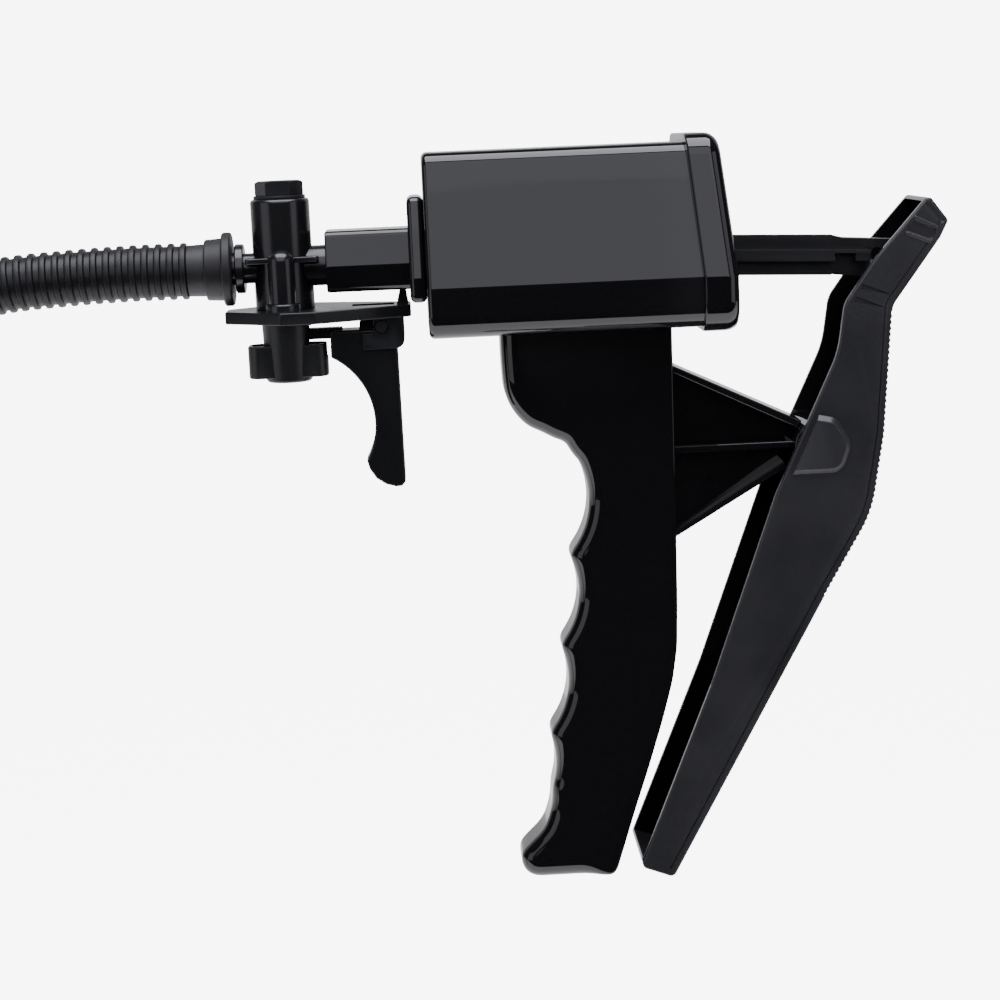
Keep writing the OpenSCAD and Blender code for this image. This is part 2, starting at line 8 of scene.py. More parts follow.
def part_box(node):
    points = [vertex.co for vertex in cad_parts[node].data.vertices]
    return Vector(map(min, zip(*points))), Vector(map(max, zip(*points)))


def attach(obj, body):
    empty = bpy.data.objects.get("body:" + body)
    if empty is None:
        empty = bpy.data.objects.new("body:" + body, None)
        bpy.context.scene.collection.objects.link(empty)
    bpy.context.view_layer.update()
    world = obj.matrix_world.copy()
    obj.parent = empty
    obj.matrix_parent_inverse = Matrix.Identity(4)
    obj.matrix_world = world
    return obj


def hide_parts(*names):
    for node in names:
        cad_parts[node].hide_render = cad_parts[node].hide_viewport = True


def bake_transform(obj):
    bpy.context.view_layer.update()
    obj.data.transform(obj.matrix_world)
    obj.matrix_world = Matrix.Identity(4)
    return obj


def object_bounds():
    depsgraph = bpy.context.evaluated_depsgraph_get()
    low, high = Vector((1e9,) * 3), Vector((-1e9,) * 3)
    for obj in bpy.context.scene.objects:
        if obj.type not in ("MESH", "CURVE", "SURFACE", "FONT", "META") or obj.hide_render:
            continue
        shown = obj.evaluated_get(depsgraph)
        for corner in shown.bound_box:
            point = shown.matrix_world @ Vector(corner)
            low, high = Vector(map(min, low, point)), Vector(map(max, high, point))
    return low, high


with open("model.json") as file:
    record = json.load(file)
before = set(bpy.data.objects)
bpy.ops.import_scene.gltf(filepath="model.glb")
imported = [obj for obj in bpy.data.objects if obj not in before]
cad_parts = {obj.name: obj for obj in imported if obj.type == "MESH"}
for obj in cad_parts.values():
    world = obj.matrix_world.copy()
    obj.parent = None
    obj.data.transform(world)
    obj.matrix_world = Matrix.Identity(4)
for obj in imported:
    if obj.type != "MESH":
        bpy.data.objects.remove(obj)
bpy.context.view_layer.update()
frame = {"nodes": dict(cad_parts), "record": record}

MM = 0.001


# ---- Camera ----

# Lens, sensor and the camera's place from the housing's front top edge in millimetres, its turns in degrees
LENS = 77.8
SENSOR = 36
CAMERA_BACK = 540
CAMERA_LEFT = 2
CAMERA_ABOVE = 5.5
CAMERA_YAW = -1.9
CAMERA_PITCH = 80.2
CAMERA_LEAN = -2.5


def make_camera():
    """Stands beside the housing's front end, just above its top, and looks slightly down and to the right."""
    low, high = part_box("housing")
    camera = bpy.data.objects.new("camera", bpy.data.cameras.new("camera"))
    bpy.context.scene.collection.objects.link(camera)
    camera.data.lens = LENS
    camera.data.sensor_width = SENSOR
    camera.location = (low.x - CAMERA_LEFT * MM, -CAMERA_BACK * MM, high.z + CAMERA_ABOVE * MM)
    turn = (Matrix.Rotation(math.radians(CAMERA_YAW), 4, "Z")
            @ Matrix.Rotation(math.radians(CAMERA_PITCH), 4, "X")
            @ Matrix.Rotation(math.radians(CAMERA_LEAN), 4, "Z"))
    camera.rotation_euler = turn.to_euler()
    bpy.context.scene.camera = camera


# ---- Lines and outlines ----

def arc_corner(before, at, after, radius, steps):
    """Points that round the corner `at` to a radius."""
    u, v = (before - at).normalized(), (after - at).normalized()
    half = u.angle(v) / 2
    middle = at + (u + v).normalized() * radius / math.sin(half)
    first = at + u * radius / math.tan(half) - middle
    last = at + v * radius / math.tan(half) - middle
    start = math.atan2(first.y, first.x)
    turn = (math.atan2(last.y, last.x) - start + math.pi) % (2 * math.pi) - math.pi
    return [middle + radius * Vector((math.cos(start + turn * i / steps), math.sin(start + turn * i / steps)))
            for i in range(steps + 1)]


def rounded(points, steps):
    """A closed outline from corners (x, y, radius)."""
    flat = [Vector(p[:2]) for p in points]
    out = []
    for i, p in enumerate(points):
        if p[2] > 0:
            out += arc_corner(flat[i - 1], flat[i], flat[(i + 1) % len(points)], p[2], steps)
        else:
            out.append(flat[i])
    return out


def bowed(points, steps):
    """An open line through (x, y, bulge), where the stretch after a point bulges to its left."""
    out = []
    for (x, y, bulge), (x2, y2, _) in zip(points, points[1:]):
        a, b = Vector((x, y)), Vector((x2, y2))
        if bulge == 0:
            out.append(a)
            continue
        angle = 2 * math.atan(2 * bulge / (b - a).length)
        radius = (b - a).length / 2 / math.sin(angle)
        u = (b - a).normalized()
        left = Vector((-u.y, u.x))
        for i in range(steps):
            s = -angle + 2 * angle * i / steps
            out.append((a + b) / 2 + radius * (math.sin(s) * u + (math.cos(s) - math.cos(angle)) * left))
    return out + [Vector(points[-1][:2])]


def smooth_route(points, spacing, steps=40):
    """Points about a given distance apart on a smooth curve through the route, and the curve's length."""
    p = [Vector(q) for q in points]
    p = [2 * p[0] - p[1]] + p + [2 * p[-1] - p[-2]]
    fine = []
    for a, b, c, d in zip(p, p[1:], p[2:], p[3:]):
        for i in range(steps):
            t = i / steps
            fine.append(0.5 * (2 * b + (c - a) * t + (2 * a - 5 * b + 4 * c - d) * t * t
                               + (3 * b - a - 3 * c + d) * t ** 3))
    fine.append(p[-2])
    total = sum((b - a).length for a, b in zip(fine, fine[1:]))
    count = round(total / spacing)
    out, walked, target = [fine[0]], 0.0, 1
    for a, b in zip(fine, fine[1:]):
        step = (b - a).length
        while target < count and walked + step >= target * total / count:
            out.append(a.lerp(b, (target * total / count - walked) / step))
            target += 1
        walked += step
    return out + [fine[-1]], total


# ---- Meshes ----

# How near two points are before they are joined, in a shaped solid and in a CAD node
MERGE = 0.004 * MM
WELD = 0.002 * MM
# A lathe's ring smaller than this is one point on its axis
ON_AXIS = 1e-6
# The smallest radius that a rounded corner keeps when its outline is drawn in
LEAST_RADIUS = 0.05


def scaled(bm):
    """Shapes are worked out in millimetres; Blender's unit is the metre."""
    bmesh.ops.scale(bm, vec=(MM, MM, MM), verts=bm.verts)
    return bm


def plain_object(name, bm):
    """An object with outward normals and smooth faces."""
    bmesh.ops.recalc_face_normals(bm, faces=bm.faces)
    for face in bm.faces:
        face.smooth = True
    mesh = bpy.data.meshes.new(name)
    bm.to_mesh(mesh)
    bm.free()
    obj = bpy.data.objects.new(name, mesh)
    bpy.context.scene.collection.objects.link(obj)
    return obj


def skin(rings):
    """A solid over rings that have the same number of points, with a face over its first and last ring."""
    bm = bmesh.new()
    verts = [[bm.verts.new(p) for p in ring] for ring in rings]
    n = len(rings[0])
    for a, b in zip(verts, verts[1:]):
        for k in range(n):
            bm.faces.new((a[k], a[(k + 1) % n], b[(k + 1) % n], b[k]))
    bm.faces.new(verts[0])
    bm.faces.new(verts[-1])
    return bm


def prism(outline, low, high):
    """A solid across the width from an outline in X and Z. low and high are Y, or a function of Z."""
    def edge(y, p):
        return (p.x, y(p.y) if callable(y) else y, p.y)
    return skin([[edge(low, p) for p in outline], [edge(high, p) for p in outline]])


def lathe(profile, at, axis, steps=72):
    """Turns a closed profile of (radius, height) about an axis through the point `at`."""
    axis = Vector(axis)
    side = axis.orthogonal().normalized()
    other = axis.cross(side)
    bm = bmesh.new()
    rings = []
    for radius, height in profile:
        centre = Vector(at) + height * axis
        if radius < ON_AXIS:
            rings.append([bm.verts.new(centre)])
        else:
            rings.append([bm.verts.new(centre + radius * (math.cos(math.tau * k / steps) * side
                                                          + math.sin(math.tau * k / steps) * other))
                          for k in range(steps)])
    for a, b in zip(rings, rings[1:] + rings[:1]):
        for k in range(steps):
            after = (k + 1) % steps
            corners = [a[k % len(a)], a[after % len(a)], b[after % len(b)], b[k % len(b)]]
            corners = list(dict.fromkeys(corners))
            if len(corners) > 2:
                bm.faces.new(corners)
    return bm


def shaped(base, operation, *tools):
    """Cuts the base with the tools, joins them to it or keeps their overlap. The tools are used up."""
    base = plain_object("base", scaled(base)) if isinstance(base, bmesh.types.BMesh) else base
    tools = [plain_object("tool", scaled(bm)) for bm in tools]
    for tool in tools:
        modifier = base.modifiers.new("shape", "BOOLEAN")
        modifier.operation = operation
        modifier.solver = "EXACT"
        modifier.object = tool
    bpy.context.view_layer.update()
    graph = bpy.context.evaluated_depsgraph_get()
    mesh = bpy.data.meshes.new_from_object(base.evaluated_get(graph))
    base.modifiers.clear()
    old, base.data = base.data, mesh
    bpy.data.meshes.remove(old)
    for tool in tools:
        mesh = tool.data
        bpy.data.objects.remove(tool)
        bpy.data.meshes.remove(mesh)
    bm = bmesh.new()
    bm.from_mesh(base.data)
    bmesh.ops.remove_doubles(bm, verts=bm.verts, dist=MERGE)
    bmesh.ops.dissolve_degenerate(bm, edges=bm.edges, dist=MERGE / 2)
    for face in bm.faces:
        face.smooth = True
    bm.to_mesh(base.data)
    bm.free()
    return base


def taken_back(obj):
    """The solid of a shaped object, in millimetres again, to be a tool itself. The object is used up."""
    bm = bmesh.new()
    bm.from_mesh(obj.data)
    bmesh.ops.scale(bm, vec=(1 / MM, 1 / MM, 1 / MM), verts=bm.verts)
    bpy.data.objects.remove(obj)
    return bm


def shade(obj, angle):
    """Marks the edges that turn by more than an angle as sharp, and shades flat faces evenly."""
    bm = bmesh.new()
    bm.from_mesh(obj.data)
    for edge in bm.edges:
        edge.smooth = len(edge.link_faces) == 2 and edge.calc_face_angle(0) < math.radians(angle)
    bm.to_mesh(obj.data)
    bm.free()
    modifier = obj.modifiers.new("shading", "WEIGHTED_NORMAL")
    modifier.keep_sharp = True


def soften(obj, width):
    """Joins a CAD node's faces and rounds its edges, which leaves its own mesh as it is."""
    modifier = obj.modifiers.new("weld", "WELD")
    modifier.merge_threshold = WELD
    if width > 0:
        modifier = obj.modifiers.new("rounded_edges", "BEVEL")
        modifier.width = width * MM
        modifier.segments = 2
        modifier.limit_method = "ANGLE"
        modifier.angle_limit = math.radians(40)
    modifier = obj.modifiers.new("shading", "WEIGHTED_NORMAL")
    modifier.keep_sharp = True


def piece(name, shape, body, slot_name, nodes, angle=30, material=None):
    """A finished piece: its shading, its material, the body it rides on and the CAD nodes it stands for."""
    obj = shape if isinstance(shape, bpy.types.Object) else plain_object(name, scaled(shape))
    obj.name = name
    obj.data.name = name
    shade(obj, angle)
    paint(obj, material or SLOTS[slot_name])
    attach(obj, body)
    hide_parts(*nodes)
    return obj


def fillet(radius, steps):
    """(distance from the end, inset) round an end's edge, from the end face to the side."""
    angles = [math.pi / 2 * i / steps for i in range(steps + 1)]
    return [(radius * (1 - math.cos(a)), radius * (1 - math.sin(a))) for a in angles]


def drawn_in(points, inset):
    """The corners (x, y, radius) of a closed outline, moved inward."""
    flat = [Vector(p[:2]) for p in points]
    area = sum(a.x * b.y - b.x * a.y for a, b in zip(flat, flat[1:] + flat[:1]))
    way = 1 if area > 0 else -1
    out = []
    for i, p in enumerate(points):
        u = (flat[i] - flat[i - 1]).normalized()
        v = (flat[(i + 1) % len(flat)] - flat[i]).normalized()
        nu, nv = way * Vector((-u.y, u.x)), way * Vector((-v.y, v.x))
        middle = (nu + nv).normalized()
        at = flat[i] + middle * inset / middle.dot(nu)
        turn = way * (u.x * v.y - u.y * v.x)
        radius = p[2] - inset if turn > 0 else p[2] + inset
        out.append((at.x, at.y, max(LEAST_RADIUS, radius) if p[2] > 0 else 0))
    return out


def oblong(x0, x1, y0, y1, radius=0):
    """The corners (x, y, radius) of a rectangle."""
    return [(x0, y0, radius), (x1, y0, radius), (x1, y1, radius), (x0, y1, radius)]


def slab(corners, low, high, radius, across="y", steps=3):
    """A solid between two faces from an outline's corners, with the edges of both faces rounded."""
    def ring(t, inset):
        order = {"x": lambda p: (t, p.x, p.y),
                 "y": lambda p: (p.x, t, p.y),
                 "z": lambda p: (p.x, p.y, t)}[across]
        return [order(p) for p in rounded(drawn_in(corners, inset), 6)]
    ends = fillet(radius, steps)
    near = [ring(low + d, inset) for d, inset in ends]
    far = [ring(high - d, inset) for d, inset in reversed(ends)]
    return skin(near + far)


def pipe(radius, low, high, at, axis, edge=0.0, steps=64):
    """A round bar along an axis, whose ends are rounded by `edge`."""
    profile = [(0, low, 0), (radius, low, edge), (radius, high, edge), (0, high, 0)]
    return lathe(rounded(profile, 4), at, axis, steps)


# ---- Materials ----

# Patches per metre of the uneven gloss and of the sink marks, and how deep sink marks and grain go, in metres
SMUDGE_SCALE = 45
SINK_SCALE = 16
SINK_DEPTH = 0.0003
GRAIN_DEPTH = 0.0001
# The mesh's pointiness where an edge starts to look worn, and where it is fully worn
WORN_FROM, WORN_TO = 0.52, 0.62


def plastic(name, color, roughness, grain_scale, grain_bump, smudge=0.06, ior=1.5):
    """Moulded plastic: uneven gloss from handling, slow sink waves, fine grain and paler worn edges."""
    material = bpy.data.materials.new(name)
    material.use_nodes = True
    nodes, links = material.node_tree.nodes, material.node_tree.links
    shader = nodes["Principled BSDF"]
    shader.inputs["IOR"].default_value = ior
    place = nodes.new("ShaderNodeTexCoord")

    def noise(scale, detail):
        node = nodes.new("ShaderNodeTexNoise")
        node.inputs["Scale"].default_value = scale
        node.inputs["Detail"].default_value = detail
        links.new(place.outputs["Object"], node.inputs["Vector"])
        return node.outputs["Fac"]

    def remapped(value, low, high, to_low=0, to_high=1):
        node = nodes.new("ShaderNodeMapRange")
        node.inputs["From Min"].default_value = low
        node.inputs["From Max"].default_value = high
        node.inputs["To Min"].default_value = to_low
        node.inputs["To Max"].default_value = to_high
        links.new(value, node.inputs["Value"])
        return node.outputs["Result"]

    def relief(height, strength, depth):
        node = nodes.new("ShaderNodeBump")
        node.inputs["Strength"].default_value = strength
        node.inputs["Distance"].default_value = depth
        links.new(height, node.inputs["Height"])
        return node

    rough = remapped(noise(SMUDGE_SCALE, 5), 0.35, 0.7, roughness, roughness + smudge)
    links.new(rough, shader.inputs["Roughness"])

    edges = nodes.new("ShaderNodeNewGeometry")
    tint = nodes.new("ShaderNodeMix")
    tint.data_type = "RGBA"
    tint.inputs["A"].default_value = (*color, 1)
    tint.inputs["B"].default_value = (*[min(1, c * 2.2 + 0.004) for c in color], 1)
    links.new(remapped(edges.outputs["Pointiness"], WORN_FROM, WORN_TO), tint.inputs["Factor"])
    links.new(tint.outputs["Result"], shader.inputs["Base Color"])

    sink = relief(noise(SINK_SCALE, 0), 1, SINK_DEPTH)
    grain = relief(noise(grain_scale, 3), grain_bump, GRAIN_DEPTH)
    links.new(sink.outputs["Normal"], grain.inputs["Normal"])
    links.new(grain.outputs["Normal"], shader.inputs["Normal"])
    return material


def paint(obj, material):
    """Gives an object one material."""
    obj.data.materials.clear()
    obj.data.materials.append(material)


# Name, colour, roughness, grain per metre and its strength, then how much the gloss varies and the IOR
GLOSS = plastic("gloss_shell", (0.0042, 0.0042, 0.005), 0.02, 900, 0.006, 0.02)
SATIN = plastic("satin_plastic", (0.006, 0.006, 0.0072), 0.28, 1500, 0.03)
LEVER = plastic("lever_plastic", (0.012, 0.012, 0.014), 0.34, 1100, 0.3, 0.14)
HOSE = plastic("hose_plastic", (0.004, 0.004, 0.005), 0.4, 2500, 0.35, 0.1, 1.36)
VALVE = plastic("valve_plastic", (0.0065, 0.0065, 0.008), 0.2, 1100, 0.015)
PLATE = plastic("plate_plastic", (0.0045, 0.0045, 0.0055), 0.28, 1500, 0.02, 0.04, 1.38)
RUBBER = plastic("rubber", (0.006, 0.006, 0.007), 0.45, 2500, 0.3, 0.1, 1.4)
INNER = plastic("inner_plastic", (0.5, 0.5, 0.47), 0.35, 1200, 0.1)
STEEL = plastic("steel", (0.5, 0.5, 0.51), 0.25, 1800, 0.1)
STEEL.node_tree.nodes["Principled BSDF"].inputs["Metallic"].default_value = 1
# The material of each of the record's slots
SLOTS = {"gloss_shell": GLOSS, "satin_plastic": SATIN, "lever_plastic": LEVER, "hose_plastic": HOSE,
         "rubber": RUBBER, "inner_plastic": INNER, "steel": STEEL}

# How far the edges of the CAD nodes that stay in view are rounded, in millimetres
NODE_EDGES = {"plug_washer": 0.15, "pivot_pin": 0.3, "rod_pin": 0.3, "trigger_pin": 0.3, "valve_stem": 0.2,
              "barrel": 0.3, "rod_guide": 0.2, "piston": 0.2, "piston_screw": 0.2}


def paint_nodes():
    """Gives every CAD node the material of its slot, and rounds the edges of those that stay in view."""
    for part in frame["record"]["subparts"]:
        node = frame["nodes"][part["node"]]
        paint(node, SLOTS[part["material_slot"]])
        soften(node, NODE_EDGES.get(part["node"], 0))


# ---- Housing, cap and neck ----

PUMP_Z = 74.5
CREASE_Z = 68.5
HOUSING_FRONT = -46.5
HOUSING_REAR = 23.5
HOUSING_LOW = 56.3
HOUSING_TOP = 101
HOUSING_HALF = 21.5
HOUSING_TOP_HALF = 16
HOUSING_WALL = 2
CAP_PROUD = 2


def mirrored(half):
    """A closed outline from the corners (y, z, radius) of its half with positive Y."""
    return half + [(-y, z, r) for y, z, r in reversed(half)]


def housing_section(inset):
    """The housing's outline in Y and Z, drawn in by an inset, or out by a negative one (less so below)."""
    low = HOUSING_LOW + inset * (1 if inset > 0 else 0.6)
    half = [(HOUSING_HALF - inset, low, 6 - inset),
            (HOUSING_HALF - inset, CREASE_Z, 9),
            (HOUSING_TOP_HALF - inset, HOUSING_TOP - inset, 4 - inset)]
    return rounded(mirrored(half), 10)


def make_housing():
    """A box shell, open at the rear, with its front edges rounded."""
    rings = [[(HOUSING_FRONT + d, p.x, p.y) for p in housing_section(inset)] for d, inset in fillet(1.4, 7)]
    outside = [(x, 0) for x in (-30, -10, 10, HOUSING_REAR)]
    inside = [(x, HOUSING_WALL) for x in (HOUSING_REAR, HOUSING_FRONT + HOUSING_WALL)]
    for x, inset in outside + inside:
        rings.append([(x, p.x, p.y) for p in housing_section(inset)])
    piece("housing_shell", skin(rings), "pump_body", "gloss_shell", ["housing"])


def leaning_x(foot_x, forward, height, z):
    """The X of an edge that is upright up to the crease and then leans forward."""
    return foot_x - forward * max(0, z - CREASE_Z) / height


def seam_x(z):
    """The cap's front edge."""
    return leaning_x(20.1, 3.2, 34.5, z)


def cap_rear_x(z):
    """The cap's rear face."""
    return leaning_x(28.7, 3.5, 34.1, z)


def make_rear_cap():
    """A proud cap over the housing's rear end, with the hole for the rod."""
    rings = [[(HOUSING_REAR, p.x, p.y) for p in housing_section(0)]]
    rings.append([(seam_x(p.y), p.x, p.y) for p in housing_section(0)])
    for d, inset in fillet(0.6, 4):
        rings.append([(seam_x(p.y) + d, p.x, p.y) for p in housing_section(inset - CAP_PROUD)])
    for d, inset in reversed(fillet(3.4, 9)):
        rings.append([(cap_rear_x(p.y) - d, p.x, p.y) for p in housing_section(inset - CAP_PROUD)])
    hole = pipe(6.2, 0, 20, (15, 0, 72.2), (1, 0, 0), steps=72)
    piece("rear_cap_shell", shaped(skin(rings), "DIFFERENCE", hole), "pump_body", "gloss_shell", ["rear_cap"])


def make_front_neck():
    """The flange on the housing's front, and the octagonal neck that carries the valve."""
    flange = [(14.5, 65, 2), (14.5, 71, 3), (11, 90.6, 2)]
    neck = [(8, 68, 2), (9, 74.4, 1.5), (7.6, 83, 1.8)]
    flange_front = HOUSING_FRONT - 4.1
    bar = slab(mirrored(neck), -71, flange_front + 0.6, 0.5, "x")
    body = shaped(slab(mirrored(flange), flange_front, HOUSING_FRONT, 1.5, "x", 6), "UNION", bar)
    piece("front_neck_shell", body, "pump_body", "gloss_shell", ["front_neck"])


# ---- Grip ----

# Up the grip's front from its toe: X, Z and how far the stretch to the next point bulges forward
GRIP_FRONT = [(-25.4, -85.2, 1.2), (-29.2, -80.6, 0.5), (-28.3, -77.8, 0), (-24.6, -74.3, -0.5),
              (-21.6, -69, -0.4), (-20.6, -62, -1.4), (-20.6, -47, -3.4), (-17, -24, -3.6),
              (-13.9, -0.8, -3.9), (-10.8, 23.6, 0.6), (-13.4, 28, 0.4), (-19.5, 30.8, 0),
              (-22.5, 32, 1), (-28.5, 41.4, 0.2), (-28.9, 56.3, 0)]
# Up the grip's rear: Z and X
GRIP_REAR = [(-85.2, -5.2), (-78.5, -3), (-68.9, 0.1), (-56.1, 4.5), (-44.2, 8.3), (-34.2, 11.1),
             (-25.3, 12.5), (-13.2, 12.9), (12.5, 13.2), (56.3, 13.5)]
GRIP_FOOT = -85.2
GRIP_HALF = 8.5
GRIP_EDGE = 4.2
GRIP_WALL = 2


def between(table, at):
    """A value read from a table of (position, value), on straight lines between its rows."""
    for (a, va), (b, vb) in zip(table, table[1:]):
        if at <= b:
            return va + (vb - va) * max(0, at - a) / (b - a)
    return table[-1][1]


def grip_front_line():
    """(z, x) up the grip's front."""
    line = []
    for p in bowed(GRIP_FRONT, 10):
        if not line or p.y > line[-1][0] + 0.04:
            line.append((p.y, p.x))
    return line


def hollow_ring(front, rear, z):
    """One level of the grip's hollow: flat at the back, with the two front edges rounded."""
    half, radius, steps = GRIP_HALF - GRIP_WALL, GRIP_EDGE - GRIP_WALL, 10
    angles = [math.pi / 2 * i / steps for i in range(steps + 1)]
    left = [(front + radius * (1 - math.sin(a)), -half + radius * (1 - math.cos(a))) for a in angles]
    line = [(rear, -half)] + left + [(x, -y) for x, y in reversed(left)] + [(rear, half)]
    return [(x, y, z) for x, y in line]


def evenly(points, spacing):
    """The same open line with points a given distance apart."""
    out, walked, target = [points[0]], 0.0, spacing
    for a, b in zip(points, points[1:]):
        step = (b - a).length
        while step > 0 and walked + step >= target:
            out.append(a.lerp(b, (target - walked) / step))
            target += spacing
        walked += step
    return out + [points[-1]]


def blurred(values, reach):
    """Each value averaged with its neighbours, evenly less with distance; the ends stay."""
    out = []
    for i in range(len(values)):
        near = min(reach, i, len(values) - 1 - i)
        weights = [1 - abs(k) / (near + 1) for k in range(-near, near + 1)]
        total = sum((values[i + k] * w for k, w in zip(range(-near, near + 1), weights)), values[i] * 0)
        out.append(total / sum(weights))
    return out


def grip_path():
    """Down the grip's front, along its foot and up its rear, and how broad the rounding is there."""
    front = bowed(GRIP_FRONT, 10)[::-1]
    foot = rounded([(*front[-1], 0), (-5.2, GRIP_FOOT, 1.5), (-3, -78.5, 0)], 6)[:-1]
    rear = [Vector((x, z)) for z, x in GRIP_REAR[1:]]
    path = blurred(evenly(front + foot[1:] + rear, 0.8), 3)
    path = [Vector((p.x, max(GRIP_FOOT, p.y))) for p in path]
    narrowest, fade = 0.5, 7
    widths = []
    for p in path:
        rear_gap = between(GRIP_REAR, p.y) - p.x
        broad = min(1, max(0, (rear_gap - narrowest) / fade))
        widths.append(narrowest + (GRIP_EDGE - narrowest) * broad)
    return path, blurred(widths, 3)


def make_grip():
    """The hollow grip: its side view as a path, with both side edges rounded by a width that varies."""
    path, widths = grip_path()
    directions = []
    for i in range(len(path)):
        along = (path[min(i + 1, len(path) - 1)] - path[max(i - 1, 0)]).normalized()
        directions.append(Vector((-along.y, along.x)))
    directions = [d.normalized() for d in blurred(directions, 7)]
    directions[0], directions[-1] = Vector((1, 0)), Vector((-1, 0))
    rings, steps = [], 9
    for side in (-1, 1):
        stack = []
        for i in range(steps + 1):
            a = math.pi / 2 * i / steps
            stack.append([(p.x + d.x * w * (1 - math.cos(a)),
                           side * (GRIP_HALF - w * (1 - math.sin(a))),
                           p.y + d.y * w * (1 - math.cos(a))) for p, d, w in zip(path, directions, widths)])
        rings += stack[::-1] if side < 0 else stack
    line = grip_front_line()
    levels = sorted({GRIP_FOOT + GRIP_WALL, 54.3} | {-83 + 2.5 * i for i in range(55)})
    hollow = [hollow_ring(between(line, z) + 2.4, between(GRIP_REAR, z) + 5, z) for z in levels]
    body = shaped(skin(rings), "DIFFERENCE", skin(hollow))
    piece("grip_shell", body, "pump_body", "gloss_shell", ["grip"])


# ---- Lever ----

# The lever from the side, as corners (x, z, radius): down its back, round its foot and up its front
LEVER_SIDE = [(82, 79.2, 1.2), (79.9, 75, 2), (68, 58.9, 4), (65.4, 27, 50), (62, 7.5, 30), (50, -12.5, 50),
              (9.3, -84.6, 1.5), (0.9, -81.4, 1.5), (20.7, -33.8, 50), (38, 13.5, 50), (54.2, 48, 25),
              (56, 60, 8), (64, 71, 12), (77.2, 85.6, 1.2)]
FOOT_Z, TIP_Z = -85, 86
FOOT_HALF, NARROWING = 13.8, 2.5
LEVER_WALL = 1.8
LEVER_STEPS = 10
PIVOT = (49.4, 24.8)
# The serrations across the lever's back, from just below its knee down to TEETH_END
TOOTH_PITCH = 1.5
TOOTH_DEPTH = 0.3
TOOTH_STEP = 0.25
TEETH_START, TEETH_END = Vector((67.6, 55)), Vector((44, -22.8))


def lever_half(z, inset=0):
    """Half the lever's width at a height: it narrows evenly from its foot to its tip."""
    return FOOT_HALF - NARROWING * (z - FOOT_Z) / (TIP_Z - FOOT_Z) - inset


def side_block(outline, inner, outer):
    """Blocks on both of the lever's sides, from inner to outer distances beyond its wall's face."""
    return [prism(outline, lambda z, s=side: s * (lever_half(z) + inner),
                  lambda z, s=side: s * (lever_half(z) + outer)) for side in (-1, 1)]


def lever_body():
    """The lever's solid: side edges rounded, and fine serrations across its back below the knee."""
    base = rounded(LEVER_SIDE, LEVER_STEPS)
    start = min(range(len(base)), key=lambda i: (base[i] - TEETH_START).length)
    end = min(range(len(base)), key=lambda i: (base[i] - TEETH_END).length)
    marks, walked = [], 0.0
    for i in range(start, end):
        length = (base[i + 1] - base[i]).length
        count = max(1, round(length / TOOTH_STEP))
        for k in range(count):
            wave = math.cos(math.tau * (walked + length * k / count) / TOOTH_PITCH)
            marks.append((i, k / count, TOOTH_DEPTH / 2 * (1 - wave)))
        walked += length

    def ring(side, d, inset):
        points = rounded(drawn_in(LEVER_SIDE, inset), LEVER_STEPS)
        toothed = []
        for i, t, depth in marks:
            along = (points[i + 1] - points[i]).normalized()
            toothed.append(points[i].lerp(points[i + 1], t) + Vector((along.y, -along.x)) * depth)
        points = points[:start] + toothed + points[end:]
        return [(p.x, side * (lever_half(p.y) - d), p.y) for p in points]
    ends = fillet(0.55, 4)
    left = [ring(-1, d, inset) for d, inset in ends]
    right = [ring(1, d, inset) for d, inset in reversed(ends)]
    return skin(left + right)


def lever_channel():
    """The hollow's outline: the back and the tip drawn in by the wall, open along the front."""
    corners = drawn_in(LEVER_SIDE, LEVER_WALL + 0.2)
    # The corners where the foot's end and the tip's end meet the open front
    foot, tip = 7, len(LEVER_SIDE) - 1
    foot_dir = (Vector(LEVER_SIDE[foot][:2]) - Vector(LEVER_SIDE[foot - 1][:2])).normalized()
    tip_dir = (Vector(LEVER_SIDE[tip][:2]) - Vector(LEVER_SIDE[0][:2])).normalized()
    beyond_end, beyond_front = 12, 30
    out = []
    for i, (x, z, _) in enumerate(corners):
        if i < foot:
            out.append((x, z, max(0, LEVER_SIDE[i][2] - 2)))
        elif i in (foot, tip):
            way = foot_dir if i == foot else tip_dir
            out.append((x + beyond_end * way.x, z + beyond_end * way.y, 0))
        else:
            out.append((x - beyond_front, z, 0))
    return rounded(out, LEVER_STEPS)


def sunk(corners, depth):
    """Blocks that cut a recess with a rounded rim into both of the lever's sides."""
    floor = [(0.25, -depth), (0.06, 0.12 - depth)]
    rim = [(-0.05, -0.25), (-0.2, -0.07), (-0.42, 0), (-0.7, 0.3)]
    blocks = []
    for side in (-1, 1):
        rings = []
        for inset, out in floor + rim:
            line = rounded(drawn_in(corners, inset), 5)
            rings.append([(q.x, side * (lever_half(q.y) + out), q.y) for q in line])
        blocks.append(skin(rings))
    return blocks


def ridge(a, b, radius=0.5, sunk_by=0.2):
    """A rounded line that stands out from both of the lever's sides."""
    bars = []
    for side in (-1, 1):
        ends = [Vector((x, side * (lever_half(z) - sunk_by), z)) for x, z in (a, b)]
        along = ends[1] - ends[0]
        bars.append(pipe(radius, 0, along.length, ends[0], along.normalized(), 0.3, 24))
    return bars


